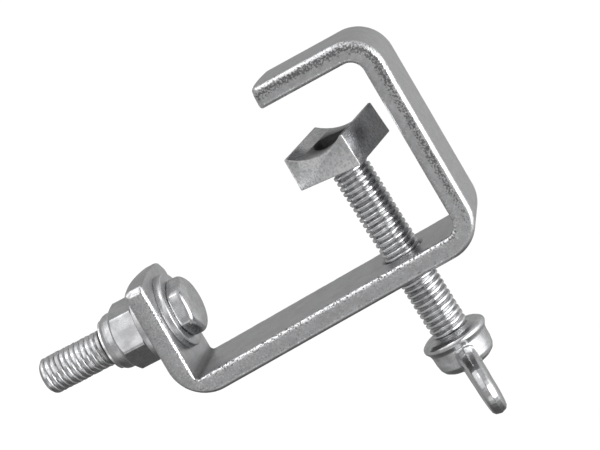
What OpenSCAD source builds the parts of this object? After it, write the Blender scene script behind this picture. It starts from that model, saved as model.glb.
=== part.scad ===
// Hook clamp for hanging a lantern or an accessory from a tube: a bent flat-bar hook, a wing screw
// that presses a swivelling saddle against the tube, and a hanging bolt with a locking nut.
// The tube's axis is Y. The origin is the axis of the tube that the hook seats. +Z is up, towards the
// back of the hook, and the hanging bolt points down. The lip is on the -X side, the wing on +X.

/* [Hook] */
// Width of the flat bar
bar_w = 25; // [20:0.5:32]
// Thickness of the flat bar
bar_t = 5.5; // [4:0.5:6.5]
// Length of the screw arm, from the outside of the foot to the outside of the back
arm_l = 86; // [80:1:100]
// Depth of the hook, from the outside of the screw arm to the outside of the lip
hook_d = 58.5; // [54:0.5:70]
// Length of the lip, from the outside of the back
lip_l = 32.4; // [26:0.1:36]
// Length of the foot, from the outside of the screw arm
foot_l = 33.8; // [31.5:0.1:40]
// Angle by which the lip opens outwards from square
lip_open = 2.4; // [0:0.1:4]
// Angle by which the back opens outwards from square
back_open = 1.2; // [0:0.1:3]
// Angle by which the foot closes inwards from square
foot_close = 2.6; // [0:0.1:4]
// Outside radius of the two bends of the back
bend_r = 9.5; // [8:0.5:12]
// Inside radius of the two bends of the back
bend_in_r = 3.5; // [2:0.5:5]
// Outside radius of the bend at the foot
foot_bend_r = 10; // [8:0.5:12]
// Inside radius of the bend at the foot
foot_bend_in_r = 1; // [0.5:0.5:3]
// Rise of the slightly rounded cut at the two ends of the bar
end_rise = 1; // [0.5:0.1:2]

/* [Tube] */
// Diameter of the tube that seats on the screw's axis
tube_d = 34; // [33:0.5:34.5]

/* [Clamp screw] */
// Major diameter of the thread
screw_d = 10; // [8:0.5:10]
// Distance from the foot's outside to the screw's axis
screw_pos = 64.2; // [60:0.1:68]
// Distance from the screw arm's outside to the wing's hub
hub_gap = 17.4; // [8:0.1:30]
// Distance from the screw arm's outside to the foot of the saddle
saddle_base = 31.8; // [26:0.1:34]
// Span of the wings
wing_span = 45; // [40:1:52]
// Thickness of the wings
wing_t = 4.4; // [3:0.1:5]
// Height of the wing screw's head, from the hub's top to the wings' ends
head_h = 20.4; // [19:0.1:26]
// Height of the hub
hub_h = 10; // [8:0.1:12]
// Diameter of the hub's flared rim
rim_d = 17.3; // [16:0.1:20]
// Diameter of the hub at its lower end
hub_d = 15.4; // [14:0.1:17]

/* [Saddle] */
// Width of the saddle across its groove
saddle_w = 19; // [17:0.5:21]
// Length of the saddle along its groove
saddle_l = 18.5; // [17:0.5:21]
// Height of the saddle at its corners
saddle_h = 8.8; // [8.5:0.1:10]
// Radius of the saddle's groove
groove_r = 16.5; // [15:0.5:20]
// Turn of the saddle about the screw at rest
saddle_turn = 24; // [0:1:45]
// Tip of the loose saddle across its groove at rest
saddle_tip_across = 4; // [0:0.5:4]
// Tip of the loose saddle along its groove at rest
saddle_tip_along = 2.4; // [0:0.2:3]
// Diameter of the counterbore in the groove
pocket_d = 10; // [9.6:0.2:11]

/* [Hanging bolt] */
// Major diameter of the hanging bolt's thread
bolt_d = 10; // [8:0.5:10]
// Distance from the screw arm's outside to the bolt's axis
bolt_pos = 21.2; // [19:0.1:22]
// Length of the bolt under its head
bolt_l = 40; // [32:1:50]
// Height of the bolt's head
bolt_head_h = 4.6; // [4:0.1:7]
// Width across flats of the bolt's head
bolt_head_af = 14; // [13:0.5:16]
// Width across flats of the locking nut
nut_af = 16; // [15:0.5:17]
// Height of the nut's hexagon
nut_hex_h = 7; // [6:0.1:9]
// Height of the locking nut with its collar
nut_h = 11.9; // [11:0.1:13]
// Outside diameter of the two flat washers
washer_d = 20; // [18:0.5:21]
// Thickness of the two flat washers
washer_t = 2; // [1.5:0.1:2.5]

/* [Hidden] */
$fn = 96;
bleed = 0.5;        // how far a cut or a fill runs past the faces that it meets
lap = 0.002;        // how far a rounding crosses the edges that it would only touch
run_gap = 0.05;     // radial running clearance
bolt_gap = 0.1;     // radial clearance of the hanging bolt in its hole
thread_chamfer = 1; // chamfer at the end of a thread
engaged_d = 9.03;   // diameter at which the engaged threads of the bolt and the nut meet
slack = 0.1;        // clearance left where the tipped saddle and its ring come closest

lobe_r = 7.2;       // radius of a wing's rounded lobe
wing_turn = -79;    // turn of the wings about the screw at rest
rim_h = 2;          // height of the hub's flare, down to its widest
rim_round = 0.6;    // how far the flare's upper edge is taken in
hub_chamfer = 1.5;  // chamfer at the hub's lower end
neck_d = 6;         // diameter of the neck that carries the saddle
saddle_floor = 3;   // thickness of the saddle under its counterbore
saddle_hole_d = 7.6; // diameter of the hole that the neck passes with room to tip
saddle_land = 0.3;  // width of the flat left beside the groove
ring_d = 9;         // outside diameter of the retaining ring
ring_in_d = 5;      // inside diameter of the retaining ring
ring_t = 0.8;       // thickness of the retaining ring
ring_slot = 2.4;    // gap in the retaining ring
ring_play = 0.1;    // axial play of the ring in its groove
tip_land = 0.8;     // length of the screw's tip past the ring
tip_chamfer = 0.4;  // chamfer at the screw's tip
head_turn = 9.5;    // turn of the bolt's hexagon at rest
head_low = 0.2;     // depth of the chamfer on the head's corners, at the washer
head_high = 0.8;    // depth of the chamfer on the head's corners, at its top
nut_turn = 16.8;    // turn of the nut's hexagon at rest
nut_low = 0.7;      // depth of the chamfer on the nut's corners, at the washer
nut_high = 1.2;     // depth of the chamfer on the nut's corners, at the collar
collar_d = 15.2;    // diameter of the nut's collar
collar_round = 1.6; // how far the collar's end is taken in
washer_gap = 0.25;  // radial clearance of a washer on the bolt
washer_edge = 0.5;  // chamfer on a washer's outer edge
insert_d = 13.4;    // outside diameter of the nylon insert
insert_t = 2.6;     // thickness of the nylon insert's seat
insert_lip = 0.8;   // thickness of the collar's rolled lip over the insert
insert_gap = 0.02;  // clearance around the nylon insert

// The tipped saddle reaches this far below its untipped foot over the shoulder and under the ring
tip_angle = norm([saddle_tip_across, saddle_tip_along]);
shoulder = saddle_base - (screw_d / 2) * sin(tip_angle) - slack;
ring_low = saddle_base + saddle_floor + (ring_d / 2) * sin(tip_angle) + slack;
tip = ring_low + ring_t + tip_land;

zinc = [0.62, 0.63, 0.65];
zinc_dark = [0.5, 0.51, 0.53];
nylon = [0.93, 0.93, 0.9];

// The hook's outline is drawn in a plane of its own: u runs from the foot to the back along the
// screw arm's outside, and v from the screw arm's outside towards the lip.
function unit(p) = p / norm(p);
foot_dir = [sin(foot_close), cos(foot_close)];
foot_out = [-cos(foot_close), sin(foot_close)];
back_dir = [sin(back_open), cos(back_open)];
back_out = [cos(back_open), -sin(back_open)];
lip_dir = [-cos(lip_open), sin(lip_open)];
lip_out = [sin(lip_open), cos(lip_open)];

// Where the line through p along a meets the line through q along b
function meet(p, a, q, b) = p + a * ((q - p).x * b.y - (q - p).y * b.x) / (a.x * b.y - a.y * b.x);

heel = [0, 0];
back_foot = [arm_l, 0];
back_top = back_foot + back_dir * hook_d;
foot_end = foot_dir * foot_l;
lip_end = back_top + lip_dir * lip_l;
heel_in = meet(heel - foot_out * bar_t, foot_dir, [0, bar_t], [1, 0]);
back_foot_in = meet(back_foot - back_out * bar_t, back_dir, [0, bar_t], [1, 0]);
back_top_in = meet(back_foot - back_out * bar_t, back_dir, back_top - lip_out * bar_t, lip_dir);

// The seated tube touches the lip's inside, on the screw's axis
tube_r = tube_d / 2;
lip_in_at_screw = meet([screw_pos, 0], [0, 1], back_top - lip_out * bar_t, lip_dir).y;
tube_v = lip_in_at_screw - tube_r / cos(lip_open);

// Places the outline's plane in the part's frame: u is up, and v points to -X
module from_outline() {
    translate([tube_v, 0, -screw_pos]) rotate([0, -90, 0]) children();
}

// Along the clamp screw: the origin on the screw arm's outside, +Z towards the saddle
module on_screw() {
    from_outline() translate([screw_pos, 0, 0]) children();
}

// Along the hanging bolt: the origin on the foot's outside, +Z down towards the bolt's end
module on_bolt() {
    from_outline() translate([foot_dir.x * bolt_pos, 0, foot_dir.y * bolt_pos])
        rotate([0, -90 + foot_close, 0]) children();
}

// The sliver between a sharp corner at p, with edges along a and b, and its rounding of radius r.
// It runs a little past the two edges, so that it joins or cuts cleanly.
module corner_sliver(p, a, b, r) {
    half = acos(a * b) / 2;
    run = r / tan(half);
    centre = p + unit(a + b) * r / sin(half);
    difference() {
        polygon([p - (a + b) * bleed, p + a * run - b * bleed, p + a * run, centre,
                 p + b * run, p + b * run - a * bleed]);
        translate(centre) circle(r + lap);
    }
}

// The bar's outline, with its two ends left a little long for the end cuts
module hook_outline() {
    foot_past = foot_end + foot_dir * bleed;
    lip_past = lip_end + lip_dir * bleed;
    difference() {
        polygon([heel, back_foot, back_top, lip_past, lip_past - lip_out * bar_t, back_top_in,
                 back_foot_in, heel_in, foot_past - foot_out * bar_t, foot_past]);
        corner_sliver(heel, foot_dir, [1, 0], foot_bend_r);
        corner_sliver(back_foot, [-1, 0], back_dir, bend_r);
        corner_sliver(back_top, -back_dir, lip_dir, bend_r);
    }
}

// Gives an outline the width of the bar
module bar_width() {
    rotate([90, 0, 0]) linear_extrude(bar_w, center = true) children();
}

// What the slightly rounded cut takes off an end of the bar: the end is at y = 0, and +Y runs off it
module end_cut() {
    cut_r = (bar_w * bar_w / 4 + end_rise * end_rise) / (2 * end_rise);
    difference() {
        translate([-bar_w, -end_rise * 2, -bar_t * 2]) cube([bar_w * 2, bar_w, bar_t * 4]);
        translate([0, -cut_r, 0]) cylinder(r = cut_r, h = bar_t * 5, center = true);
    }
}

module hook_frame() {
    color(zinc) difference() {
        from_outline() union() {
            bar_width() hook_outline();
            bar_width() corner_sliver(heel_in, foot_dir, [1, 0], foot_bend_in_r);
            bar_width() corner_sliver(back_foot_in, [-1, 0], back_dir, bend_in_r);
            bar_width() corner_sliver(back_top_in, -back_dir, lip_dir, bend_in_r);
        }
        on_screw() translate([0, 0, -bleed]) cylinder(d = screw_d + 2 * run_gap, h = bar_t + 2 * bleed);
        on_bolt() translate([0, 0, -bar_t - bleed])
            cylinder(d = bolt_d + 2 * bolt_gap, h = bar_t + 2 * bleed);
        foot_end_cut();
        lip_end_cut();
    }
}

module foot_end_cut() {
    from_outline() translate([foot_end.x, 0, foot_end.y]) rotate([0, foot_close, 0])
        rotate([90, 0, 90]) end_cut();
}

module lip_end_cut() {
    from_outline() translate([lip_end.x, 0, lip_end.y]) rotate([0, -90 + lip_open, 0])
        rotate([90, 0, 90]) end_cut();
}

// Two lobes and their webs, drawn across the hub: x runs out along the span, y along the screw
module wing_outline() {
    lobe_x = wing_span / 2 - lobe_r;
    lobe_y = -hub_gap - head_h + lobe_r;
    for (side = [-1, 1]) {
        translate([side * lobe_x, lobe_y]) circle(lobe_r);
        polygon([[0, -hub_gap - rim_h * 1.5],
                 [side * hub_d / 2, -hub_gap - rim_h * 1.5],
                 [side * (lobe_x + lobe_r * 0.3), lobe_y + lobe_r * 0.95],
                 [side * (lobe_x - lobe_r * 0.6), lobe_y - lobe_r * 0.8],
                 [0, -hub_gap - hub_h + hub_chamfer]]);
    }
}

// The wing screw: its thread, the narrow neck that carries the saddle, and its cast head
module clamp_screw() {
    color(zinc) on_screw() {
        rotate_extrude() polygon([
            [0, -hub_gap - hub_h],
            [hub_d / 2 - hub_chamfer, -hub_gap - hub_h],
            [hub_d / 2, -hub_gap - hub_h + hub_chamfer],
            [rim_d / 2, -hub_gap - rim_h],
            [rim_d / 2 - rim_round, -hub_gap - rim_round],
            [screw_d / 2, -hub_gap],
            [screw_d / 2, shoulder - thread_chamfer],
            [screw_d / 2 - thread_chamfer, shoulder],
            [neck_d / 2, shoulder],
            [neck_d / 2, ring_low],
            [ring_in_d / 2 - run_gap, ring_low],
            [ring_in_d / 2 - run_gap, ring_low + ring_t + ring_play],
            [neck_d / 2, ring_low + ring_t + ring_play],
            [neck_d / 2, tip - tip_chamfer],
            [neck_d / 2 - tip_chamfer, tip],
            [0, tip]]);
        rotate(wing_turn) rotate([90, 0, 0]) linear_extrude(wing_t, center = true) wing_outline();
    }
}

// The split ring in the neck's groove, which keeps the saddle on the screw
module retaining_ring() {
    color(zinc_dark) on_screw() translate([0, 0, ring_low + ring_play / 2]) difference() {
        cylinder(d = ring_d, h = ring_t);
        translate([0, 0, -bleed]) cylinder(d = ring_in_d, h = ring_t + 2 * bleed);
        translate([0, -ring_slot / 2, -bleed]) cube([ring_d, ring_slot, ring_t + 2 * bleed]);
    }
}

// The saddle's own frame: its centre, with x across the groove and y along it
module on_saddle() {
    on_screw() translate([0, 0, saddle_base + saddle_h / 2]) rotate([0, 0, -saddle_turn])
        rotate([saddle_tip_across, saddle_tip_along, 0]) children();
}

module saddle() {
    half_chord = saddle_w / 2 - saddle_land;
    groove_z = saddle_h / 2 + sqrt(groove_r * groove_r - half_chord * half_chord);
    color(zinc) on_saddle() difference() {
        cube([saddle_w, saddle_l, saddle_h], center = true);
        translate([0, 0, groove_z]) rotate([90, 0, 0])
            cylinder(r = groove_r, h = saddle_l + 2 * bleed, center = true);
        translate([0, 0, -saddle_h / 2 + saddle_floor]) cylinder(d = pocket_d, h = saddle_h);
        translate([0, 0, -saddle_h / 2 - bleed]) cylinder(d = saddle_hole_d, h = saddle_h);
    }
}

// A hexagonal prism with both ends chamfered by depths low and high, standing on z = 0
module hexagon(af, h, low, high) {
    corner_r = af / 2 / cos(30);
    intersection() {
        cylinder(r = corner_r, h = h, $fn = 6);
        rotate_extrude() polygon([
            [0, 0],
            [corner_r - low / tan(30), 0],
            [corner_r, low],
            [corner_r, h - high],
            [corner_r - high / tan(30), h],
            [0, h]]);
    }
}

// The hanging bolt is at its major diameter, but for the stretch whose thread runs in the nut
module hanging_bolt() {
    under_head = -bar_t - washer_t;
    engaged_from = washer_t - slack - under_head + bleed;
    engaged_to = washer_t + nut_h + 2 * slack - under_head + bleed;
    color(zinc) on_bolt() {
        rotate(head_turn) mirror([0, 0, 1]) translate([0, 0, -under_head])
            hexagon(bolt_head_af, bolt_head_h, head_low, head_high);
        translate([0, 0, under_head - bleed]) rotate_extrude() polygon([
            [0, 0],
            [bolt_d / 2, 0],
            [bolt_d / 2, engaged_from],
            [engaged_d / 2, engaged_from],
            [engaged_d / 2, engaged_to],
            [bolt_d / 2, engaged_to],
            [bolt_d / 2, bolt_l + bleed - thread_chamfer],
            [bolt_d / 2 - thread_chamfer, bolt_l + bleed],
            [0, bolt_l + bleed]]);
    }
}

// A flat washer around the bolt, standing on z = 0, with its outer edge chamfered on the far side
module flat_washer() {
    rotate_extrude() polygon([
        [bolt_d / 2 + washer_gap, 0],
        [washer_d / 2, 0],
        [washer_d / 2, washer_t - washer_edge],
        [washer_d / 2 - washer_edge, washer_t],
        [bolt_d / 2 + washer_gap, washer_t]]);
}

module head_washer() {
    color(zinc) on_bolt() translate([0, 0, -bar_t]) mirror([0, 0, 1]) flat_washer();
}

module nut_washer() {
    color(zinc) on_bolt() flat_washer();
}

// The locking nut: a hexagon with a round collar that holds the nylon insert
module lock_nut() {
    color(zinc) on_bolt() translate([0, 0, washer_t]) difference() {
        union() {
            rotate(nut_turn) hexagon(nut_af, nut_hex_h, nut_low, nut_high);
            rotate_extrude() polygon([
                [0, 0],
                [collar_d / 2, 0],
                [collar_d / 2, nut_h - collar_round],
                [collar_d / 2 - collar_round, nut_h],
                [0, nut_h]]);
        }
        translate([0, 0, -bleed]) cylinder(d = engaged_d + 2 * run_gap, h = nut_h);
        translate([0, 0, nut_h - insert_lip - insert_t]) cylinder(d = insert_d, h = insert_t);
        translate([0, 0, nut_h - insert_lip - bleed]) cylinder(d = insert_d - collar_round, h = nut_h);
    }
}

module nylon_insert() {
    color(nylon) on_bolt() translate([0, 0, washer_t + nut_h - insert_lip - insert_t])
        rotate_extrude() polygon([
            [engaged_d / 2 + insert_gap, insert_gap],
            [insert_d / 2 - insert_gap, insert_gap],
            [insert_d / 2 - insert_gap, insert_t - insert_gap],
            [engaged_d / 2 + insert_gap, insert_t - insert_gap]]);
}

hook_frame();
clamp_screw();
retaining_ring();
saddle();
hanging_bolt();
head_washer();
nut_washer();
lock_nut();
nylon_insert();
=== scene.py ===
"""The looks of the hook clamp: a detailed mesh for each CAD node, procedural zinc, camera and light.

Lengths are in millimetres until a mesh is placed, and then in metres in the CAD frame.
"""

import math

import bmesh
import bpy
import numpy as np
from mathutils import Matrix, Vector


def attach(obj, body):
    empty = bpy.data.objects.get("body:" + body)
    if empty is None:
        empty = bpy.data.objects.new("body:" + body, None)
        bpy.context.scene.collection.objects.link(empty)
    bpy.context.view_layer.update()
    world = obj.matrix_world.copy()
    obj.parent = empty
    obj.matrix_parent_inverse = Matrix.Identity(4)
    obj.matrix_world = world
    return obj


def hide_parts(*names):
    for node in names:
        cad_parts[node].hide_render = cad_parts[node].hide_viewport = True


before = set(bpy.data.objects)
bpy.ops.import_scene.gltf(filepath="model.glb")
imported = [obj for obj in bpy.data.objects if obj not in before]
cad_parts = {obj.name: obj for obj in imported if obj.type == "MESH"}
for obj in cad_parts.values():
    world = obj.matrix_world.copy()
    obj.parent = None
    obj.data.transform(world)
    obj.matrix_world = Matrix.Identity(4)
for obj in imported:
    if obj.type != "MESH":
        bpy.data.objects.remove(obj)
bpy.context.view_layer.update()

# ---------------------------------------------------------------- dimensions, as in the CAD part
BAR_W, BAR_T = 25.0, 5.5
ARM_L, BACK_L, LIP_L, FOOT_L = 86.0, 58.5, 32.4, 33.8
LIP_OPEN, BACK_OPEN, FOOT_CLOSE = 2.4, 1.2, 2.6  # degrees away from square
BEND_R, BEND_IN_R = 9.5, 3.5
FOOT_BEND_R, FOOT_BEND_IN_R = 10.0, 1.0
SCREW_POS, BOLT_POS = 64.2, 21.2  # along the arm, and along the foot
TUBE_V = 36.93245  # the tube's axis above the arm's outer face
THREAD_R, PITCH, CHAMFER = 5.0, 1.5, 1.0
HUB_GAP, HUB_H, HEAD_H = 17.4, 10.0, 20.4  # the hub's start below the arm, its height, and with wings
WING_SPAN, LOBE_R, WING_TURN = 45.0, 7.2, -79.0
SADDLE_BASE, SADDLE_W, SADDLE_L, SADDLE_H, GROOVE_R = 31.8, 19.0, 18.5, 8.8, 16.5
SADDLE_TILTS = (("Z", -24.0), ("Y", 2.4), ("X", 4.0))
NECK_R, NECK_BORE_R, HEAD_BORE_R = 3.0, 3.8, 5.0
SHOULDER, RING_LOW, TIP = 31.293, 35.266, 36.866  # heights on the screw's axis above the arm
WASHER_T, WASHER_R = 2.0, 10.0
NUT_FLATS, NUT_TURN, NYLON_FROM = 16.0, 46.8, 8.5
BOLT_FLATS, BOLT_TURN, BOLT_THREAD_END = 14.0, 39.5, 32.49
NEAR_AXIS = 0.01  # where an open turned profile starts and ends


# ---------------------------------------------------------------- frames
def turned(axis, degrees):
    return np.array(Matrix.Rotation(math.radians(degrees), 4, axis))


def moved(x, y, z):
    return np.array(Matrix.Translation((x, y, z)))


def placed(place, *steps):
    for step in steps:
        place = place @ step
    return place


# In the outline's plane, x runs along the arm and z across it, towards the tube
OUTLINE = np.array([[0, 0, -1, TUBE_V], [0, 1, 0, 0], [1, 0, 0, -SCREW_POS], [0, 0, 0, 1]], float)
ON_SCREW = OUTLINE @ moved(SCREW_POS, 0, 0)
foot_angle = math.radians(FOOT_CLOSE)
ON_BOLT = placed(OUTLINE, moved(math.sin(foot_angle) * BOLT_POS, 0, math.cos(foot_angle) * BOLT_POS),
                 turned("Y", -90 + FOOT_CLOSE))
ON_SADDLE = placed(ON_SCREW, moved(0, 0, SADDLE_BASE + SADDLE_H / 2),
                   *(turned(axis, degrees) for axis, degrees in SADDLE_TILTS))


# ---------------------------------------------------------------- numbers
def smoothstep(x, lo, hi):
    t = np.clip((np.asarray(x, float) - lo) / (hi - lo), 0, 1)
    return t * t * (3 - 2 * t)


def soft_min(a, b, k):
    h = np.clip(0.5 + 0.5 * (b - a) / k, 0, 1)
    return b * (1 - h) + a * h - k * h * (1 - h)


def hump(x, middle, width):
    return np.exp(-((x - middle) / width) ** 2)


def angles(turns):
    return np.arange(turns) / turns * 2 * np.pi


def path_lengths(points):
    return np.r_[0, np.cumsum(np.linalg.norm(np.diff(points, axis=0), axis=1))]


ROUGH_LIMIT = 1.4


def rough_field(shape, cells, seed):
    """Smooth random values up to ROUGH_LIMIT on a grid, with features about `cells` steps across."""
    field = np.random.default_rng(seed).standard_normal(shape)
    for axis, size in enumerate(cells):
        n = shape[axis]
        kept = np.exp(-((np.fft.rfftfreq(n) * size) ** 2) * 4)
        along = [1] * field.ndim
        along[axis] = -1
        field = np.fft.irfft(np.fft.rfft(field, axis=axis) * kept.reshape(along), n, axis=axis)
    return np.clip(field / (field.std() * 2), -ROUGH_LIMIT, ROUGH_LIMIT)


# ---------------------------------------------------------------- meshes
def grid_faces(rows, cols, closed=False):
    """The quads between rings of points. A closed grid joins its last ring to its first."""
    faces = []
    for i in range(rows if closed else rows - 1):
        a, b = i * cols, (i + 1) % rows * cols
        for j in range(cols):
            k = (j + 1) % cols
            faces.append((a + j, a + k, b + k, b + j))
    return faces


def end_faces(rows, cols):
    """The faces that close the first and the last ring of a grid."""
    return [tuple(range(cols))[::-1], tuple(range((rows - 1) * cols, rows * cols))]


def ring_of(profile, turns):
    """Points of a profile of (radius, z) rows turned about Z, one row of `turns` points for each."""
    p = np.asarray(profile, float)
    a = angles(turns)
    return np.stack([p[:, :1] * np.cos(a), p[:, :1] * np.sin(a), np.repeat(p[:, 1:2], turns, 1)], -1)


def new_object(name, points, faces, place=None, sharp=38.0, weld=0.004, attributes=None):
    """A mesh object, welded, with normals outwards, and smooth but for edges above `sharp` degrees."""
    me = bpy.data.meshes.new(name)
    me.from_pydata([tuple(p) for p in np.asarray(points, float).reshape(-1, 3)], [], faces)
    for key, values in (attributes or {}).items():
        write_marks(me, key, np.asarray(values).ravel())
    ob = bpy.data.objects.new(name, me)
    bpy.context.scene.collection.objects.link(ob)
    tidy_mesh(ob, sharp, weld)
    if place is not None:
        settle(ob, place)
    return ob


def tidy_mesh(ob, sharp, weld=0.0):
    bm = bmesh.new()
    bm.from_mesh(ob.data)
    if weld:
        bmesh.ops.remove_doubles(bm, verts=bm.verts, dist=weld)
        bmesh.ops.dissolve_degenerate(bm, edges=bm.edges, dist=weld / 4)
    bmesh.ops.recalc_face_normals(bm, faces=bm.faces)
    for f in bm.faces:
        f.smooth = True
    for e in bm.edges:
        e.smooth = len(e.link_faces) != 2 or e.calc_face_angle(0) < math.radians(sharp)
    bm.to_mesh(ob.data)
    bm.free()


def mesh_points(me):
    co = np.zeros(len(me.vertices) * 3)
    me.vertices.foreach_get("co", co)
    return co.reshape(-1, 3)


def settle(ob, place):
    """Places a mesh made in millimetres into the part's frame, in metres."""
    p = (mesh_points(ob.data) @ place[:3, :3].T + place[:3, 3]) * 0.001
    ob.data.vertices.foreach_set("co", p.ravel())
    ob.data.update()


def unsettled(ob, place):
    """The points of a placed mesh, in millimetres in the frame of `place`."""
    return (mesh_points(ob.data) * 1000 - place[:3, 3]) @ place[:3, :3]


def apply_modifiers(ob):
    dg = bpy.context.evaluated_depsgraph_get()
    me = bpy.data.meshes.new_from_object(ob.evaluated_get(dg), preserve_all_data_layers=True, depsgraph=dg)
    ob.modifiers.clear()
    old = ob.data
    ob.data = me
    me.name = old.name
    bpy.data.meshes.remove(old)


def add_boolean(ob, operation, other):
    m = ob.modifiers.new(operation.lower(), "BOOLEAN")
    m.operation, m.solver, m.object = operation, "EXACT", other


def cut(ob, *cutters):
    for cutter in cutters:
        add_boolean(ob, "DIFFERENCE", cutter)
    apply_modifiers(ob)
    for cutter in cutters:
        bpy.data.objects.remove(cutter)


def lathe(name, profile, turns, closed=False, place=None, sharp=38.0):
    """A turned solid. An open profile starts and ends near the axis, and is capped there."""
    n = len(profile)
    faces = grid_faces(n, turns, closed)
    if not closed:
        faces += end_faces(n, turns)
    return new_object(name, ring_of(profile, turns), faces, place, sharp)


# ---------------------------------------------------------------- marks that the materials read
# One mark brightens worn edges and adds a painted highlight there, "torn" is a rough dark tear, and one mark
# is painted shade in holes, thread roots, creases and shaded faces
def write_marks(me, key, values):
    marks = me.attributes.get(key) or me.attributes.new(key, "FLOAT", "POINT")
    marks.data.foreach_set("value", values.astype(np.float32))


def wear(ob, low, high):
    """Marks each point as a worn edge with a painted highlight, by the mesh's bend there: not at `low`
    radians, and fully at `high`.
    """
    bm = bmesh.new()
    bm.from_mesh(ob.data)
    bm.verts.ensure_lookup_table()
    bends = np.zeros(len(bm.verts), np.float32)
    for v in bm.verts:
        ridges = [e.calc_face_angle_signed(0) for e in v.link_edges if len(e.link_faces) == 2]
        bends[v.index] = max([0.0] + ridges)
    bm.free()
    write_marks(ob.data, "edge", smoothstep(bends, low, high))


def paint_shade(ob, amounts):
    """Marks each point with painted shade of at least its amount."""
    old = np.zeros(len(ob.data.vertices), np.float32)
    if "painted_shade" in ob.data.attributes:
        ob.data.attributes["painted_shade"].data.foreach_get("value", old)
    write_marks(ob.data, "painted_shade", np.maximum(old, amounts))


def darken(ob, place, radius, span, amount):
    """Marks the points inside a cylinder about the Z of `place`, over its span, with painted shade."""
    x, y, z = unsettled(ob, place).T
    paint_shade(ob, ((np.hypot(x, y) < radius) & (z > span[0]) & (z < span[1])) * amount)


# ---------------------------------------------------------------- materials
class Graph:
    """Adds and links the nodes of one material or world."""

    def __init__(self, owner):
        owner.use_nodes = True
        self.nodes = owner.node_tree.nodes
        self.nodes.clear()
        self.link = owner.node_tree.links.new

    def feed(self, sockets, values):
        """Gives each socket its value, which is a number, a vector or another node's output."""
        for socket, value in zip(sockets, values):
            if isinstance(value, bpy.types.NodeSocket):
                self.link(value, socket)
            else:
                socket.default_value = value

    def node(self, kind, **inputs):
        """A node with its inputs by name, where _ stands for a space."""
        n = self.nodes.new("ShaderNode" + kind)
        self.feed([n.inputs[key.replace("_", " ")] for key in inputs], inputs.values())
        return n

    def maths(self, operation, a, b):
        n = self.node("Math")
        n.operation = operation
        self.feed(n.inputs, (a, b))
        return n.outputs[0]

    def remap(self, value, span, out, smooth=False):
        n = self.node("MapRange")
        n.interpolation_type = "SMOOTHSTEP" if smooth else "LINEAR"
        self.feed(n.inputs, (value, *span, *out))
        return n.outputs[0]

    def noise(self, vector, scale, detail, roughness, distortion=0.0):
        n = self.node("TexNoise", Vector=vector, Scale=scale, Detail=detail, Roughness=roughness,
                      Distortion=distortion)
        return n.outputs["Fac"]

    def scaled(self, scale):
        """The object's coordinates times `scale`."""
        coord = self.node("TexCoord").outputs["Object"]
        return self.node("Mapping", Vector=coord, Scale=scale).outputs["Vector"]

    def painted(self, key):
        n = self.node("Attribute")
        n.attribute_name = key
        return n.outputs["Fac"]


PER_MM = 1000  # from metres
ZINC_TINT = (1.0, 1.005, 1.02)
NOISE, NOISE_MIDDLE, UNIT = (0.3, 0.7), (0.35, 0.65), (0.0, 1.0)
GRAIN_TONE, PATCH_TONE, PATCH_GLOSS = (0.93, 1.07), (0.94, 1.05), (-0.04, 0.05)
TORN_TONE, PAINTED_SHADE_TONE = 0.34, 0.16  # what is left of the tone
TORN_ROUGHER, PAINTED_SHADE_ROUGHER, WORN_SMOOTHER = 0.12, 0.25, 0.12
GRAIN_HEIGHT, BRUSHED_HEIGHT, TORN_HEIGHT = 0.5, 0.6, 4.0
RELIEF = 0.0001  # metres


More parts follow.
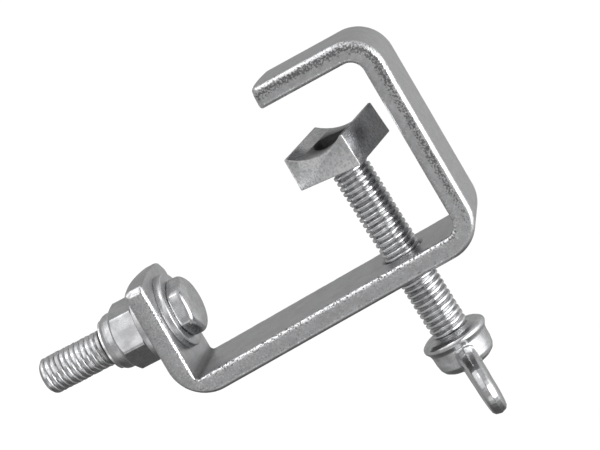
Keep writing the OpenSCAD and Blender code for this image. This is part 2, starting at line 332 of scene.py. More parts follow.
def zinc(name, dark, light, rough, spread=0.07, cloud=0.22, fine=2.6, bump=0.25, brushed=None, torn=False,
         wear_and_highlight_by=0.22):
    """Zinc plating: clouded tone and gloss, fine grain, dark tears, edges brightened by wear and a painted
    highlight, and painted shade in holes, crevices and shaded faces.
    """
    m = bpy.data.materials.new(name)
    g = Graph(m)
    mm = g.scaled((PER_MM, PER_MM, PER_MM))
    clouds = g.noise(mm, cloud, 3.0, 0.55)
    grain = g.noise(mm, fine, 2.0, 0.6)
    patches = g.noise(mm, cloud * 3.1, 4.0, 0.6, 0.6)

    tone = g.remap(clouds, NOISE, (dark, light), True)
    tone = g.maths("MULTIPLY", tone, g.remap(grain, NOISE, GRAIN_TONE))
    tone = g.maths("MULTIPLY", tone, g.remap(patches, NOISE_MIDDLE, PATCH_TONE))
    gloss = g.remap(clouds, NOISE, (rough + spread, rough - spread), True)
    gloss = g.maths("ADD", gloss, g.remap(patches, NOISE_MIDDLE, PATCH_GLOSS))
    height = g.maths("MULTIPLY", grain, GRAIN_HEIGHT)
    if brushed:
        lines = g.noise(g.scaled(tuple(PER_MM * b for b in brushed)), 1.0, 3.0, 0.6)
        tone = g.maths("MULTIPLY", tone, g.remap(lines, NOISE, GRAIN_TONE))
        height = g.maths("ADD", height, g.maths("MULTIPLY", lines, BRUSHED_HEIGHT))

    edge, painted_shade = g.painted("edge"), g.painted("painted_shade")
    if torn:
        # Fine noise breaks the edges' smooth marks up into flecks, and the tears' into strokes
        tears = g.painted("torn")
        chips = g.noise(mm, 2.1, 1.0, 0.5, 0.3)
        ragged = g.maths("ADD", edge, g.remap(chips, NOISE, (-0.5, 0.5)))
        worn_and_lit = g.remap(ragged, (0.3, 0.62), UNIT, True)
        bitten = g.maths("ADD", tears, g.remap(chips, (0.32, 0.68), (0.5, -0.6)))
        bitten = g.remap(bitten, (0.5, 1.05), UNIT, True)
        tone = g.maths("MULTIPLY", tone, g.remap(bitten, UNIT, (1.0, TORN_TONE)))
        gouges = g.maths("MULTIPLY", g.maths("MULTIPLY", tears, chips), TORN_HEIGHT)
        height = g.maths("ADD", height, gouges)
        gloss = g.maths("ADD", gloss, g.maths("MULTIPLY", bitten, TORN_ROUGHER))
    else:
        worn_and_lit = g.maths("MULTIPLY", edge, g.remap(grain, (0.35, 0.55), (0.45, 1.0)))
    # Edges brighten, for wear and as a painted highlight
    tone = g.maths("ADD", tone, g.maths("MULTIPLY", worn_and_lit, wear_and_highlight_by))
    gloss = g.maths("SUBTRACT", gloss, g.maths("MULTIPLY", worn_and_lit, WORN_SMOOTHER))
    # Painted shade darkens the marked holes, thread roots, creases and faces
    tone = g.maths("MULTIPLY", tone, g.remap(painted_shade, UNIT, (1.0, PAINTED_SHADE_TONE)))
    gloss = g.maths("ADD", gloss, g.maths("MULTIPLY", painted_shade, PAINTED_SHADE_ROUGHER))

    colour = g.node("CombineColor")
    g.feed(colour.inputs, [g.maths("MULTIPLY", tone, t) for t in ZINC_TINT])
    relief = g.node("Bump", Strength=bump, Distance=RELIEF, Height=height)
    shader = g.node("BsdfPrincipled", Metallic=1.0, Base_Color=colour.outputs[0], Roughness=gloss,
                    Normal=relief.outputs["Normal"])
    g.node("OutputMaterial", Surface=shader.outputs[0])
    return m


def nylon_material():
    m = bpy.data.materials.new("nylon_natural")
    g = Graph(m)
    coord = g.node("TexCoord").outputs["Object"]
    milk = g.node("TexNoise", Vector=coord, Scale=900).outputs["Fac"]
    ramp = g.node("ValToRGB", Fac=milk)
    ramp.color_ramp.elements[0].color = (0.74, 0.74, 0.68, 1)
    ramp.color_ramp.elements[1].color = (0.9, 0.9, 0.86, 1)
    relief = g.node("Bump", Strength=0.3, Distance=RELIEF / 2, Height=milk)
    shader = g.node("BsdfPrincipled", Base_Color=ramp.outputs["Color"], Roughness=0.45,
                    Normal=relief.outputs["Normal"])
    g.node("OutputMaterial", Surface=shader.outputs[0])
    return m


# The last argument brightens edges, for wear and as a painted highlight
BAR = zinc("bar_zinc", 0.5, 0.56, 0.34, spread=0.03, torn=True, wear_and_highlight_by=0.2)
THREAD = zinc("thread_zinc", 0.46, 0.62, 0.24, fine=2.4, bump=0.55, wear_and_highlight_by=0.14)
CAST = zinc("cast_zinc", 0.5, 0.68, 0.18, cloud=0.3)
PLATE = zinc("saddle_zinc", 0.52, 0.64, 0.3, fine=1.6, bump=0.18, brushed=(2.4, 2.4, 0.12), wear_and_highlight_by=0.45)
HEAD = zinc("head_zinc", 0.5, 0.66, 0.22, cloud=0.35, wear_and_highlight_by=0.08)
NUT = zinc("nut_zinc", 0.5, 0.66, 0.24, cloud=0.3, wear_and_highlight_by=0.4)
WASHER = zinc("washer_zinc", 0.44, 0.58, 0.34)
# The split ring sits in the saddle's pocket, and its dark tone is painted shade
RING_IN_SHADE = zinc("ring_steel", 0.18, 0.28, 0.4)
NYLON = nylon_material()


def finish_piece(ob, material, body, node):
    ob.data.materials.clear()
    ob.data.materials.append(material)
    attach(ob, body)
    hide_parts(node)


# ---------------------------------------------------------------- the bent bar
def leaning(degrees):
    """The direction of a leg that leans by `degrees` from square to the arm."""
    a = math.radians(degrees)
    return np.array((math.sin(a), math.cos(a)))


ARM_DIR, FOOT_DIR, BACK_DIR = np.array([1.0, 0.0]), leaning(FOOT_CLOSE), leaning(BACK_OPEN)
LIP_DIR = leaning(LIP_OPEN)[::-1] * (-1, 1)
STATION_STEP, BEND_RUN = 0.3, 16.5  # between stations, and the length sampled round each bend


def meet(p, a, q, b):
    """Where the line through p along a meets the line through q along b."""
    d = q - p
    return p + a * (d[0] * b[1] - d[1] * b[0]) / (a[0] * b[1] - a[1] * b[0])


def sample_path(points, n):
    """n + 1 points along a list of dense 2D points, evenly spaced along its length."""
    s = path_lengths(points)
    t = np.linspace(0, s[-1], n + 1)
    return np.stack([np.interp(t, s, points[:, 0]), np.interp(t, s, points[:, 1])], 1)


def half_angle(d1, d2):
    return math.acos(np.clip(-d1 @ d2, -1, 1)) / 2


def bend_curve(corner, d1, d2, r, before, after):
    """A rounded corner between directions d1 and d2, from `before` ahead of it to `after` past it."""
    half = half_angle(d1, d2)
    run = r / math.tan(half)
    centre = corner + (d2 - d1) / np.linalg.norm(d2 - d1) * r / math.sin(half)
    a, b = corner - d1 * run - centre, corner + d2 * run - centre
    t = np.linspace(0, 1, 40)[:, None]
    sweep = a * (1 - t) + b * t
    sweep = centre + sweep / np.linalg.norm(sweep, axis=1)[:, None] * r
    return np.vstack([corner - d1 * before, sweep, corner + d2 * after])


def bar_stations():
    """The bar's outer and inner points in the outline's plane, from the foot's end to the lip's end.

    The third result says how far each station is into a bend: 0 on a straight, 1 in a bend's middle.
    """
    heel, elbow = np.zeros(2), ARM_DIR * ARM_L
    corners = [heel, elbow, elbow + BACK_DIR * BACK_L]
    dirs = [-FOOT_DIR, ARM_DIR, BACK_DIR, LIP_DIR]
    radii = [(FOOT_BEND_R, FOOT_BEND_IN_R), (BEND_R, BEND_IN_R), (BEND_R, BEND_IN_R)]
    through = [np.array([-d[1], d[0]]) * BAR_T for d in dirs]
    start, end = FOOT_DIR * FOOT_L, corners[2] + LIP_DIR * LIP_L
    outer, inner, bends = [start], [start + through[0]], [0.0]

    def straight_to(p, q):
        n = int(round(np.linalg.norm(p - outer[-1]) / STATION_STEP))
        for left in range(n, 0, -1):
            outer.append(outer[-1] + (p - outer[-1]) * (1 / left))
            inner.append(inner[-1] + (q - inner[-1]) * (1 / left))
            bends.append(0.0)

    for i, (c, (r_out, r_in)) in enumerate(zip(corners, radii)):
        d1, d2 = dirs[i], dirs[i + 1]
        q = meet(c + through[i], d1, c + through[i + 1], d2)
        past1, past2 = (q - c) @ d1, (q - c) @ d2
        tan_half = math.tan(half_angle(d1, d2))
        before = max(r_out / tan_half, r_in / tan_half - past1) + 0.2
        after = max(r_out / tan_half, r_in / tan_half + past2) + 0.2
        straight_to(c - d1 * before, q - d1 * (before + past1))
        n = int(round(BEND_RUN / STATION_STEP))
        outer += list(sample_path(bend_curve(c, d1, d2, r_out, before, after), n)[1:])
        inner += list(sample_path(bend_curve(q, d1, d2, r_in, before + past1, after - past2), n)[1:])
        bends += list(np.sin(np.linspace(0, np.pi, n + 1))[1:])
    straight_to(end, end + through[3])
    return np.array(outer), np.array(inner), np.array(bends)


CORNER_OUT, CORNER_IN = 1.3, 1.15  # the section's corner radii
THROUGH_STEPS = (0, 0.28, 0.56, 0.84, 1.12, 1.42, 1.75, 2.2, 2.75, 3.3, 3.85, 4.3, 4.7, 4.9, 5.1, 5.3, 5.5)
ACROSS_STEPS = (0, 0.28, 0.56, 0.84, 1.12, 1.42, 1.75, 2.3, 3.1, 4.2, 5.6, 7.2, 9.0, 10.8)


def section_grid():
    """The bar's section as grids of a, from 0 outside to BAR_T inside, and y, with its corners rounded."""
    hw, e = BAR_W / 2, np.array(ACROSS_STEPS)
    ga, gy = np.meshgrid(np.array(THROUGH_STEPS), np.r_[-hw + e, 0, (hw - e)[::-1]], indexing="ij")
    for outside, r in ((True, CORNER_OUT), (False, CORNER_IN)):
        for sy in (-1, 1):
            p = (r - ga) if outside else (ga - (BAR_T - r))
            q = sy * gy - (hw - r)
            m = (p > 0) & (q > 0)
            big, length = np.maximum(p, q)[m], np.hypot(p, q)[m]
            pn, qn = p[m] / length * big, q[m] / length * big
            ga[m] = (r - pn) if outside else (BAR_T - r + pn)
            gy[m] = sy * (hw - r + qn)
    return ga, gy


def ring_order(na, ny):
    """The grid places round the section's rim, in order."""
    top = [(0, j) for j in range(ny)]
    right = [(i, ny - 1) for i in range(1, na)]
    low = [(na - 1, j) for j in range(ny - 2, -1, -1)]
    left = [(i, 0) for i in range(na - 2, 0, -1)]
    return top + right + low + left


END_SAG, END_CORNER, END_REACH = 1.0, 0.8, 9.0  # the cut's arc, its corners, and how far in it fades
FAR_CUT, FAR_CUT_FROM, FAR_CUT_RUN, FAR_CUT_POWER = 3.6, 8.9, 3.6, 1.25  # the foot's clipped far corner
BEND_SPREAD, BEND_NEUTRAL = 0.028, 0.45  # a bend's squeezed inner side is wider
CAP_TORN = 0.12


def end_shape(y, far_cut):
    """How far the rounded cut and its corners stand back at y across the bar's width."""
    hw = BAR_W / 2
    cut_r = (hw * hw + END_SAG ** 2) / (2 * END_SAG)
    back = cut_r - np.sqrt(cut_r * cut_r - y * y)
    over = np.clip(np.abs(y) - (hw - END_CORNER), 0, END_CORNER)
    back = back + END_CORNER - np.sqrt(np.maximum(END_CORNER ** 2 - over * over, 0))
    return back + far_cut * np.clip((y - FAR_CUT_FROM) / FAR_CUT_RUN, 0, 1) ** FAR_CUT_POWER


def round_in(e, r):
    """How far a surface with an end rounded to r stands in at e from that end."""
    return r - math.sqrt(max(r * r - (r - min(e, r)) ** 2, 0))


class BarPath:
    """The bar's stations, and the points of its section at each of them."""

    def __init__(self):
        self.outer, self.inner, self.bends = bar_stations()
        self.s = path_lengths((self.outer + self.inner) / 2)
        self.total = self.s[-1]

    def end_rounding(self, i, a, y):
        """How far the outer, inner and side faces stand in at station i, near the foot's or lip's end."""
        e = min(self.s[i], self.total - self.s[i])
        if self.near_foot(i):
            low = round_in(e, 1.3) + (round_in(e, 2.6) - round_in(e, 1.3)) * smoothstep(y, -7, 9)
            return low, round_in(e, 0.5), round_in(e, 0.9)
        low, high = round_in(e, 1.7), round_in(e, 0.95)
        return low, high, high + 0.6 * (low - high) * (1 - a / BAR_T)

    def near_foot(self, i):
        return self.s[i] < self.total - self.s[i]

    def section(self, i, a, y):
        """The points a, y of the section at station i, with the ends' rounding and cut."""
        low, high, side = self.end_rounding(i, a, y)
        a2 = low + a * (BAR_T - low - high) / BAR_T
        y2 = y * (BAR_W / 2 - side) / (BAR_W / 2)
        width = 1 + self.bends[i] * (a2 / BAR_T - BEND_NEUTRAL) * BEND_SPREAD
        p = self.outer[i] + (self.inner[i] - self.outer[i]) * (a2 / BAR_T)[:, None]
        fade = 1 - smoothstep(min(self.s[i], self.total - self.s[i]), 0, END_REACH)
        if self.near_foot(i):
            along, far_cut = self.outer[1] - self.outer[0], FAR_CUT
        else:
            along, far_cut = self.outer[-2] - self.outer[-1], 0.0
        along = along / np.linalg.norm(along)
        p = p + along * (end_shape(y, far_cut) * fade)[:, None]
        return np.stack([p[:, 0], y2 * width, p[:, 1]], -1)


def bar_marks(path, a, y, lumps, beads):
    """The marks on the bar's skin, at each station and each place a, y round its section.

    The sheared outer edges are torn below a painted highlight line, and the inner ones carry a fine burr with
    a painted glint. Painted shade darkens the crease inside the foot's bend.
    """
    s, a, near = path.s[:, None], a[None], (BAR_W / 2 - np.abs(y))[None]
    back_leg = smoothstep(s, 104, 122)
    arm_leg = 1 - back_leg
    lip_leg = smoothstep(s, path.total - 48, path.total - 38)
    foot_leg = 1 - smoothstep(s, 38, 60)
    ragged = a + 0.22 * lumps
    side_face, side_and_corner = near < 0.9, near < 1.7
    # A painted highlight along the outer edge
    painted_highlight_line = side_and_corner * smoothstep(ragged, 1.9, 0.75) * smoothstep(a, -0.2, 0.4)
    dark_band = side_face * smoothstep(ragged, 0.85, 1.6) * smoothstep(ragged, 4.0, 2.2)
    flecks = 0.13 * (near < 0.4) * smoothstep(a, 1.0, 2.4) * foot_leg
    # A fine burr on the inner edges, with a painted glint
    burr_and_glint = (near < 1.3) * hump(a, 4.9, 0.8) * (0.82 + 0.25 * beads)
    speckle = 0.22 * side_face * hump(a, 3.9, 0.8) * arm_leg
    torn = (dark_band * (0.92 + 0.25 * lumps) * (back_leg + 0.3 * arm_leg)
            + painted_highlight_line * (0.62 * lip_leg + 0.2 * arm_leg) + 0.78 * burr_and_glint * arm_leg)
    edge = (painted_highlight_line * (back_leg + 0.15 * arm_leg) + flecks
            + burr_and_glint * (0.62 * arm_leg + 0.25 * back_leg) + speckle)
    # Painted shade in the crease inside the foot's bend
    heel = path.s[np.argmax(path.bends[:len(path.s) // 3])]
    crease_shade = 0.75 * (a > 5.2) * hump(s, heel, 1.9)
    return {"torn": np.clip(torn, 0, 1), "edge": np.clip(edge, 0, 1), "painted_shade": crease_shade}


def push_out(rows, amounts):
    """Moves each point of a tube of rings outwards along its normal."""
    round_it = np.roll(rows, -1, 1) - np.roll(rows, 1, 1)
    normal = np.cross(np.gradient(rows, axis=0), round_it)
    normal /= np.linalg.norm(normal, axis=-1, keepdims=True) + 1e-9
    outwards = np.sign(((rows - rows.mean(1, keepdims=True)) * normal).sum(-1).mean())
    return rows + outwards * normal * amounts[..., None]


TAP = [(NEAR_AXIS, -2), (6.4, -2), (6.4, -0.35), (6.05, 0), (5.02, 0.75), (5.02, 4.75), (6.05, BAR_T),
       (6.4, 5.85), (6.4, 8), (NEAR_AXIS, 8)]
FOOT_HOLE = [(NEAR_AXIS, -8), (5.1, -8), (5.1, 3), (NEAR_AXIS, 3)]


def make_bar():
    path = BarPath()
    ga, gy = section_grid()
    na, ny = ga.shape
    order = ring_order(na, ny)
    ring_a = np.array([ga[ij] for ij in order])
    ring_y = np.array([gy[ij] for ij in order])
    n, m = len(path.s), len(order)
    rows = np.array([path.section(i, ring_a, ring_y) for i in range(n)])

    lumps = rough_field((n, m), (14, 6), seed=5)
    beads = rough_field((n, m), (3.2, 2.0), seed=7)
    waves = rough_field((n, m), (30, 12), seed=6)
    marks = bar_marks(path, ring_a, ring_y, lumps, beads)
    rows = push_out(rows, -0.06 * marks["torn"] * (1.2 + beads) - 0.04 * marks["edge"] * (0.8 - 0.5 * beads)
                    + 0.012 * (waves - ROUGH_LIMIT))

    # Each end is closed by a grid whose rim is the end's ring
    points, faces = [rows.reshape(-1, 3)], grid_faces(n, m)
    marks = {key: [values.ravel()] for key, values in marks.items()}
    inside, next_id = (na - 2) * (ny - 2), n * m
    for i in (0, n - 1):
        ids = np.empty((na, ny), int)
        for k, ij in enumerate(order):
            ids[ij] = i * m + k
        ids[1:-1, 1:-1] = next_id + np.arange(inside).reshape(na - 2, ny - 2)
        next_id += inside
        cap = path.section(i, ga.ravel(), gy.ravel()).reshape(na, ny, 3)
        points.append(cap[1:-1, 1:-1].reshape(-1, 3))
        for key, value in (("torn", CAP_TORN), ("edge", 0.0), ("painted_shade", 0.0)):
            marks[key].append(np.full(inside, value))
        for a in range(na - 1):
            for b in range(ny - 1):
                f = (ids[a, b], ids[a, b + 1], ids[a + 1, b + 1], ids[a + 1, b])
                faces.append(f[::-1] if i else f)
    ob = new_object("hook_bar", np.vstack(points), faces, OUTLINE, 50, 0.0,
                    {key: np.concatenate(values) for key, values in marks.items()})

    cut(ob, lathe("tap", TAP, 64, place=ON_SCREW), lathe("hole", FOOT_HOLE, 64, place=ON_BOLT))
    tidy_mesh(ob, 50)
    # Painted shade inside the tapped hole and the foot's hole
    darken(ob, ON_SCREW, 5.9, (0.2, 5.3), 0.8)
    darken(ob, ON_BOLT, 5.3, (-5.2, -0.3), 0.9)
    finish_piece(ob, BAR, "hook", "hook_frame")


# ---------------------------------------------------------------- threads
THREAD_POINTS, THREAD_ROW = 84, 0.115  # points round a row, and the height between rows


def threaded(name, z0, z1, head, tail, place, seed, depth=0.78, crest=0.28, shade=None):
    """A threaded rod from z0 to z1, chamfered at z1, with the turned rows of `head` before and `tail` after.

    `crest` is the share of the pitch's half that stays at full radius, and `shade` a height where a painted
    shadow darkens the rod.
    """
    a = angles(THREAD_POINTS)
    zs = np.linspace(z0, z1, int(round((z1 - z0) / THREAD_ROW)) + 1)
    phase = zs[:, None] / PITCH - a[None] / (2 * np.pi)
    down = np.abs(phase - np.round(phase)) * 2  # 0 on a crest, 1 in a root
    waves = rough_field(down.shape, (16, 12), seed)
    lumps = rough_field(down.shape, (5, 5), seed + 1)
    r = THREAD_R - 0.01 - depth * smoothstep(down + 0.1 * lumps, crest, 1.02)
    battered = 0.03 * (1 + waves) + 0.06 * (ROUGH_LIMIT + lumps)
    r = r - battered * (1 - smoothstep(down, 0.35, 0.8))
    r = np.minimum(r, THREAD_R - CHAMFER + np.clip(z1 - zs, 0, CHAMFER)[:, None])
    rod = np.stack([r * np.cos(a), r * np.sin(a), np.repeat(zs[:, None], THREAD_POINTS, 1)], -1)
    rows = np.concatenate([ring_of(head, THREAD_POINTS), rod, ring_of(tail, THREAD_POINTS)])

    n = len(rows)
    on_rod = slice(len(head), len(head) + len(zs))
    edge, painted_shade = np.zeros((n, THREAD_POINTS)), np.zeros((n, THREAD_POINTS))
    # Crests carry wear and a painted glint, and roots painted shade
    edge[on_rod] = 1 - smoothstep(down, 0.3, 0.6)
    painted_shade[on_rod] = 0.35 * smoothstep(down, 0.75, 1.0)
    if shade is not None:
        painted_shade[on_rod] = np.maximum(painted_shade[on_rod], 0.8 * hump(zs, shade, 0.9)[:, None])
    faces = grid_faces(n, THREAD_POINTS) + end_faces(n, THREAD_POINTS)
    return new_object(name, rows, faces, place, 60, 0.0, {"edge": edge, "painted_shade": painted_shade})


def make_screw():
    neck = [(NECK_R, SHOULDER), (NECK_R, RING_LOW - 0.02), (2.46, RING_LOW), (2.46, RING_LOW + 0.88),
            (NECK_R, RING_LOW + 0.9), (NECK_R, TIP - 0.4), (2.6, TIP - 0.04), (0.4, TIP - 0.02)]
    foot = -HUB_GAP - 0.4
    ob = threaded("screw_thread", foot, SHOULDER, [(NECK_R, foot)], neck, ON_SCREW, seed=21)
    finish_piece(ob, THREAD, "screw", "clamp_screw")


# ---------------------------------------------------------------- the wing screw's cast head
# The hub's profile, with heights from its end and from its collar's top
HUB_END = [(NEAR_AXIS, -0.2), (4.2, -0.2), (5.6, 0.1), (6.8, 0.9), (7.4, 2.0), (7.65, 3.6)]
HUB_COLLAR = [(7.7, -4.6), (7.85, -3.5), (8.2, -2.9), (8.62, -2.3), (8.64, -1.7), (8.4, -1.25), (7.5, -0.6),
              (6.2, -0.15), (5.5, 0.0), (NEAR_AXIS, 0.0)]
WING_LAYERS = ((-1.0, 1.1), (-0.72, 0.4), (0.0, 0.0), (0.72, 0.4), (1.0, 1.1))  # height's share, inset
WING_HALF_T, WING_TAPER = 2.6, 0.75
CAST_VOXEL = 0.2


def wing_outline():
    """One wing's outline as (span, depth below the arm), anticlockwise, starting inside the hub."""
    cx, cy = WING_SPAN / 2 - LOBE_R, HUB_GAP + HEAD_H - LOBE_R
    x0, y0 = 6.8, HUB_GAP + 3.6
    pts = [(0, HUB_GAP + 3.0), (x0, y0)]
    for t in np.linspace(0, 1, 9)[1:-1]:
        pts.append((x0 + (cx + 1.2 - x0) * t, y0 + (cy - LOBE_R - 0.05 - y0) * t ** 1.4))
    lobe = np.radians(np.linspace(-78, 170, 26))
    pts += [(cx + LOBE_R * math.cos(b), cy + LOBE_R * math.sin(b)) for b in lobe]
    x1, y1 = pts[-1]
    for t in np.linspace(0, 1, 8)[1:]:
        pts.append((x1 * (1 - t), y1 + (HUB_GAP + HUB_H - 0.6 - y1) * (1 - (1 - t) ** 2)))
    return np.array(pts)


def inset_outline(p, d):
    t = np.roll(p, -1, 0) - np.roll(p, 1, 0)
    t /= np.linalg.norm(t, axis=1)[:, None] + 1e-9
    out = p + np.stack([-t[:, 1], t[:, 0]], 1) * d
    out[:, 0] = np.maximum(out[:, 0], 0)
    return out


def make_wing(side, outline):
    layers = []
    for level, inset in WING_LAYERS:
        p = inset_outline(outline, inset)
        half = WING_HALF_T - WING_TAPER * smoothstep(p[:, 0], 6, 20)
        layers.append(np.stack([side * p[:, 0], level * half, -p[:, 1]], -1))
    n, m = len(layers), len(outline)
    return new_object("wing", np.vstack(layers), grid_faces(n, m) + end_faces(n, m), sharp=60, weld=0)


def make_head():
    """The hub and both wings, joined and softened as one casting."""
    hub = [(r, -HUB_GAP - HUB_H + z) for r, z in HUB_END] + [(r, -HUB_GAP + z) for r, z in HUB_COLLAR]
    ob = lathe("wing_head", hub, 72)
    wings = [make_wing(side, wing_outline()) for side in (1, -1)]
    for wing in wings:
        add_boolean(ob, "UNION", wing)
    skin = ob.modifiers.new("skin", "REMESH")
    skin.mode, skin.voxel_size, skin.use_smooth_shade = "VOXEL", CAST_VOXEL, True
    soft = ob.modifiers.new("cast", "SMOOTH")
    soft.factor, soft.iterations = 0.5, 3
    apply_modifiers(ob)
    for wing in wings:
        bpy.data.objects.remove(wing)
    for face in ob.data.polygons:
        face.use_smooth = True
    settle(ob, ON_SCREW @ turned("Z", WING_TURN))
    finish_piece(ob, CAST, "screw", "clamp_screw")


# ---------------------------------------------------------------- the saddle
SADDLE_LAND, SADDLE_TAPER, SADDLE_BEVEL = 0.7, 0.03, 0.3
SADDLE_POCKET_FROM = 3.0  # above the saddle's base
# Painted shade on the groove, and on the side face at +x, darker towards +y
GROOVE_SHADE, SIDE_SHADE = 0.42, 0.62


def make_saddle():
    hx, hy, hz = SADDLE_W / 2, SADDLE_L / 2, SADDLE_H / 2
    chord = hx - SADDLE_LAND
    groove_z = hz + math.sqrt(GROOVE_R ** 2 - chord ** 2)
    half = math.degrees(math.asin(chord / GROOVE_R))
    arc = np.radians(np.linspace(-90 + half, -90 - half, 41))
    outline = [(-hx, -hz), (hx, -hz), (hx, hz)]
    outline += [(GROOVE_R * math.cos(t), groove_z + GROOVE_R * math.sin(t)) for t in arc]
    outline.append((-hx, hz))

    def drawn_in(value, z):
        return value * (1.0 - SADDLE_TAPER * (z + hz) / SADDLE_H)

    n = len(outline)
    points = [(drawn_in(x, z), drawn_in(y, z), z) for y in (-hy, hy) for x, z in outline]
    ob = new_object("saddle_block", points, end_faces(2, n) + grid_faces(2, n), sharp=30)
    bevel = ob.modifiers.new("edges", "BEVEL")
    bevel.width, bevel.segments = SADDLE_BEVEL, 2
    bevel.limit_method, bevel.angle_limit = "ANGLE", math.radians(40)
    apply_modifiers(ob)
    wear(ob, 0.15, 0.45)
    pocket = -hz + SADDLE_POCKET_FROM
    cut(ob, lathe("bore", [(NEAR_AXIS, -hz - 2), (NECK_BORE_R, -hz - 2), (NECK_BORE_R, pocket),
                           (HEAD_BORE_R, pocket), (HEAD_BORE_R, hz + 3), (NEAR_AXIS, hz + 3)], 72))
    tidy_mesh(ob, 30)
    settle(ob, ON_SADDLE)

    # Painted shade in the bore and its pocket, on the groove, and on the side face at +x
    darken(ob, ON_SADDLE, HEAD_BORE_R + 0.05, (-hz + 0.2, hz - 1.2), 0.9)
    x, y, z = unsettled(ob, ON_SADDLE).T
    paint_shade(ob, GROOVE_SHADE * (np.hypot(x, z - groove_z) < GROOVE_R + 0.25))
    paint_shade(ob, SIDE_SHADE * smoothstep(y, -4.0, 8.0) * (x > hx * 0.9))
    finish_piece(ob, PLATE, "saddle", "saddle")


# ---------------------------------------------------------------- nut, bolt head, washers, small rings
HEX_POINTS = 240
# (radius, height from the nut's face, whether the hexagon cuts it)
NUT_PROFILE = [(5.5, 0.0, 0), (7.75, 0.0, 1), (8.0, 0.02, 1), (9.25, 0.6, 1), (9.6, 0.9, 1), (9.6, 5.9, 1),
               (9.25, 6.25, 1), (7.75, 7.3, 1), (7.6, 7.6, 1), (7.55, 8.9, 1), (7.4, 9.6, 1), (7.05, 10.2, 1),
               (6.6, 10.7, 1), (6.2, 11.1, 1), (5.9, 11.4, 0), (5.75, 11.4, 0), (5.75, 11.1, 0),
               (6.68, 11.1, 0), (6.68, NYLON_FROM, 0), (5.02, NYLON_FROM, 0), (5.02, 0.5, 0)]
# (radius, height above the washer, whether the hexagon cuts it)
HEAD_PROFILE = [(4.9, 0.0, 0), (7.6, 0.0, 1), (8.2, 0.15, 1), (8.5, 0.5, 1), (8.5, 2.2, 1), (8.2, 2.8, 1),
                (7.6, 3.4, 1), (6.8, 3.9, 1), (5.6, 4.3, 1), (4.2, 4.52, 1), (2.2, 4.6, 1), (0.02, 4.62, 0)]
# (radius, height above the nylon's seat)
NYLON_PROFILE = [(5.02, 0.05), (6.66, 0.05), (6.66, 2.58), (5.7, 2.58), (5.5, 2.75), (5.2, 2.72), (5.02, 2.5)]
# (radius, height from the flat side)
WASHER_PROFILE = [(5.25, 0.1), (5.35, 0.0), (9.8, 0.0), (9.95, 0.08), (WASHER_R, 0.25),
                  (WASHER_R, WASHER_T - 0.32), (9.95, WASHER_T - 0.14), (9.8, WASHER_T - 0.03),
                  (9.62, WASHER_T), (5.4, WASHER_T), (5.25, WASHER_T - 0.12)]
SPLIT_R, SPLIT_GAP = 3.5, 2.4  # the split ring's middle radius and its gap
SPLIT_HALF_W, SPLIT_HALF_H, SPLIT_BASE, SPLIT_ROUND = 0.97, 0.38, 0.45, 0.6


def hexed(name, profile, flats, turn, soft, corner, capped=False, sharp=50):
    """A turned profile on the bolt's axis, cut by a hexagon, with softened cuts and rounded corners."""
    a = angles(HEX_POINTS)
    rel = (a - math.radians(turn) + np.pi / 6) % (np.pi / 3) - np.pi / 6
    flat = flats / 2 / np.cos(rel)
    flat = soft_min(flat, np.full_like(flat, flats / 2 / math.cos(math.pi / 6) - 0.6 * corner), corner)
    rounds = [np.full_like(flat, radius) for radius, _, _ in profile]
    r = np.array([soft_min(flat, q, soft) if row[2] else q for q, row in zip(rounds, profile)])
    z = np.repeat(np.array([[height] for _, height, _ in profile]), HEX_POINTS, 1)
    n = len(profile)
    faces = grid_faces(n, HEX_POINTS, not capped)
    if capped:
        faces += end_faces(n, HEX_POINTS)
    return new_object(name, np.stack([r * np.cos(a), r * np.sin(a), z], -1), faces, ON_BOLT, sharp, 0.003)


def fine_profile(points, step):
    """Fills in a list of (r, z, hexed) rows so that no hexed row is further than `step` from the next."""
    out = []
    for p, q in zip(points[:-1], points[1:]):
        either = p[2] or q[2]
        n = max(1, int(math.ceil(math.hypot(q[0] - p[0], q[1] - p[1]) / step))) if either else 1
        for k in range(n):
            out.append((p[0] + (q[0] - p[0]) * k / n, p[1] + (q[1] - p[1]) * k / n, p[2]))
    return out + [points[-1]]


def make_nut():
    rows = fine_profile([(r, WASHER_T + z, hexagon) for r, z, hexagon in NUT_PROFILE], 0.13)
    ob = hexed("lock_nut_body", rows, NUT_FLATS, NUT_TURN, soft=0.09, corner=0.2)
    wear(ob, 0.1, 0.35)
    # A painted shadow ring on the nut's end round the bolt
    darken(ob, ON_BOLT, 6.3, (12.9, 14.0), 0.85)
    finish_piece(ob, NUT, "bolt", "lock_nut")


def make_insert():
    rows = [(r, WASHER_T + NYLON_FROM + z) for r, z in NYLON_PROFILE]
    ob = lathe("nylon_ring", rows, 72, closed=True, place=ON_BOLT)
    finish_piece(ob, NYLON, "bolt", "nylon_insert")


def make_bolt():
    under_head = -BAR_T - WASHER_T
    rows = fine_profile([(r, under_head - z, hexagon) for r, z, hexagon in HEAD_PROFILE], 0.16)
    head = hexed("bolt_head", rows, BOLT_FLATS, BOLT_TURN, soft=1.2, corner=0.5, capped=True, sharp=75)
    wear(head, 0.1, 0.35)
    finish_piece(head, HEAD, "bolt", "hanging_bolt")
    # A painted shadow ring on the thread where it leaves the nut
    shank = threaded("bolt_thread", -7.6, BOLT_THREAD_END, [(NECK_R, -7.6)], [(3.2, BOLT_THREAD_END - 0.03)],
                     ON_BOLT, seed=11, depth=0.5, crest=0.45, shade=13.8)
    finish_piece(shank, THREAD, "bolt", "hanging_bolt")


def make_washer(name, flat_z, away, node):
    """A flat washer from flat_z, whose edge is rounded on the side that `away`, 1 or -1, points to."""
    rows = [(r, flat_z + away * z) for r, z in WASHER_PROFILE]
    ob = lathe(name, rows, 120, closed=True, place=ON_BOLT, sharp=45)
    wear(ob, 0.15, 0.5)
    finish_piece(ob, WASHER, "bolt", node)


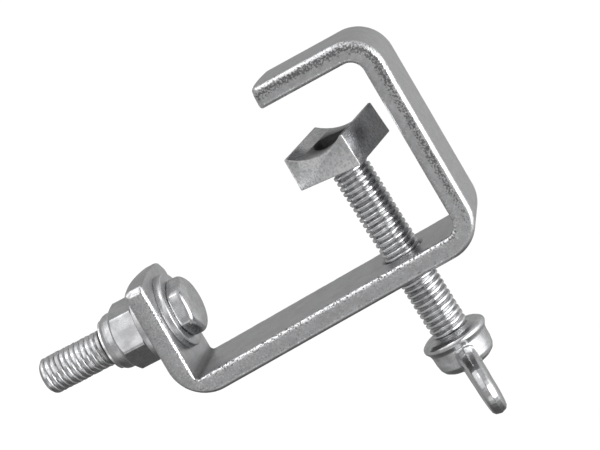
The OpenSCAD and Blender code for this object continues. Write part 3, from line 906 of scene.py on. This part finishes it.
def make_ring():
    """The split ring in the neck's groove."""
    n, m = 88, 12
    gap = math.asin(SPLIT_GAP / 2 / SPLIT_R)
    wire = []
    for k in range(m):
        c, s = math.cos(2 * math.pi * k / m), math.sin(2 * math.pi * k / m)
        wire.append((SPLIT_R + SPLIT_HALF_W * np.sign(c) * abs(c) ** SPLIT_ROUND,
                     RING_LOW + SPLIT_BASE + SPLIT_HALF_H * np.sign(s) * abs(s) ** SPLIT_ROUND))
    points = [(r * math.cos(t), r * math.sin(t), z)
              for t in np.linspace(gap, 2 * math.pi - gap, n) for r, z in wire]
    ob = new_object("split_ring", points, grid_faces(n, m) + end_faces(n, m), ON_SCREW, 40, 0)
    finish_piece(ob, RING_IN_SHADE, "ring", "retaining_ring")


make_bar()
make_screw()
make_head()
make_saddle()
make_ring()
make_bolt()
make_washer("washer_under_head", -BAR_T, -1, "head_washer")
make_washer("washer_under_nut", 0.0, 1, "nut_washer")
make_nut()
make_insert()

# ---------------------------------------------------------------- camera
RIGHT, UP, FORWARD = (0.52742, 0.11709, 0.8415), (-0.83615, 0.24715, 0.48967), (0.15064, 0.96188, -0.22825)
EYE, LENS = (-0.0553876, -0.43664, 0.0854), 110.609

cam_data = bpy.data.cameras.new("camera")
cam_data.lens, cam_data.sensor_width = LENS, 36.0
cam_data.clip_start, cam_data.clip_end = 0.01, 200.0
cam = bpy.data.objects.new("camera", cam_data)
bpy.context.scene.collection.objects.link(cam)
bpy.context.scene.camera = cam
cam.matrix_world = Matrix([(x, y, -z, at) for x, y, z, at in zip(RIGHT, UP, FORWARD, EYE)] + [(0, 0, 0, 1)])

# ---------------------------------------------------------------- floor, world and lights
WHITE, ROOM_BASE = 1.1, 0.46
# Each soft glow in the room: its direction, how bright, and the cosines where it starts and is full
GLOWS = [((0.1, -0.35, 0.93), 1.0, 0.62, 0.97), ((0.0, 0.3, 0.95), 0.3, 0.3, 1.0),
         ((0.15, -0.64, 0.75), 2.5, 0.86, 0.97), ((-0.85, -0.35, -0.22), 0.7, 0.6, 0.95),
         ((0.92, 0.3, -0.3), -0.34, 0.45, 0.95), ((0.0, 0.95, 0.1), -0.06, 0.5, 0.95),
         ((-0.42, -0.86, -0.23), 0.42, 0.93, 0.99), ((0.55, -0.81, -0.23), 0.45, 0.95, 0.995)]
LIGHT_DISTANCE, LIT_MIDDLE = 0.9, (0.005, 0, -0.02)


def make_floor():
    bpy.ops.mesh.primitive_plane_add(size=120, location=(0, 0, -0.45))
    floor = bpy.context.object
    floor.name = "floor"
    m = bpy.data.materials.new("pale_floor")
    g = Graph(m)
    shader = g.node("BsdfPrincipled", Base_Color=(0.93, 0.93, 0.93, 1), Roughness=0.95)
    g.node("OutputMaterial", Surface=shader.outputs[0])
    floor.data.materials.append(m)
    floor.visible_glossy = False


def studio_world():
    """White for the camera and the floor. Metal sees a grey room with a soft bright ceiling."""
    world = bpy.data.worlds.new("studio")
    bpy.context.scene.world = world
    g = Graph(world)
    coord = g.node("TexCoord").outputs["Generated"]
    room = None
    for towards, power, start, full in GLOWS:
        facing = g.node("VectorMath")
        facing.operation = "DOT_PRODUCT"
        g.feed(facing.inputs, (coord, tuple(np.array(towards) / np.linalg.norm(towards))))
        glow = g.remap(facing.outputs["Value"], (start, full), (0.0, power), True)
        room = glow if room is None else g.maths("ADD", room, glow)
    grey = g.node("Background", Color=g.maths("ADD", room, ROOM_BASE))
    white = g.node("Background", Color=(1, 1, 1, 1), Strength=WHITE)
    mix = g.node("MixShader")
    is_glossy = g.node("LightPath").outputs["Is Glossy Ray"]
    g.feed(mix.inputs, (is_glossy, white.outputs[0], grey.outputs[0]))
    g.node("OutputWorld", Surface=mix.outputs[0])


def soft_light(name, towards, size, power):
    """A square soft light, which faces the object's middle from the direction `towards`."""
    data = bpy.data.lights.new(name, "AREA")
    data.size, data.energy = size, power
    ob = bpy.data.objects.new(name, data)
    bpy.context.scene.collection.objects.link(ob)
    d = np.array(towards) / np.linalg.norm(towards)
    ob.location = tuple(d * LIGHT_DISTANCE + np.array(LIT_MIDDLE))
    ob.rotation_mode = "QUATERNION"
    ob.rotation_quaternion = Vector(tuple(d)).to_track_quat("Z", "Y")


make_floor()
studio_world()
soft_light("overhead", (0.12, -0.3, 0.94), 0.32, 1.1)
soft_light("side", (-0.85, -0.35, -0.2), 0.25, 0.6)
bpy.context.scene.view_settings.view_transform = "Standard"
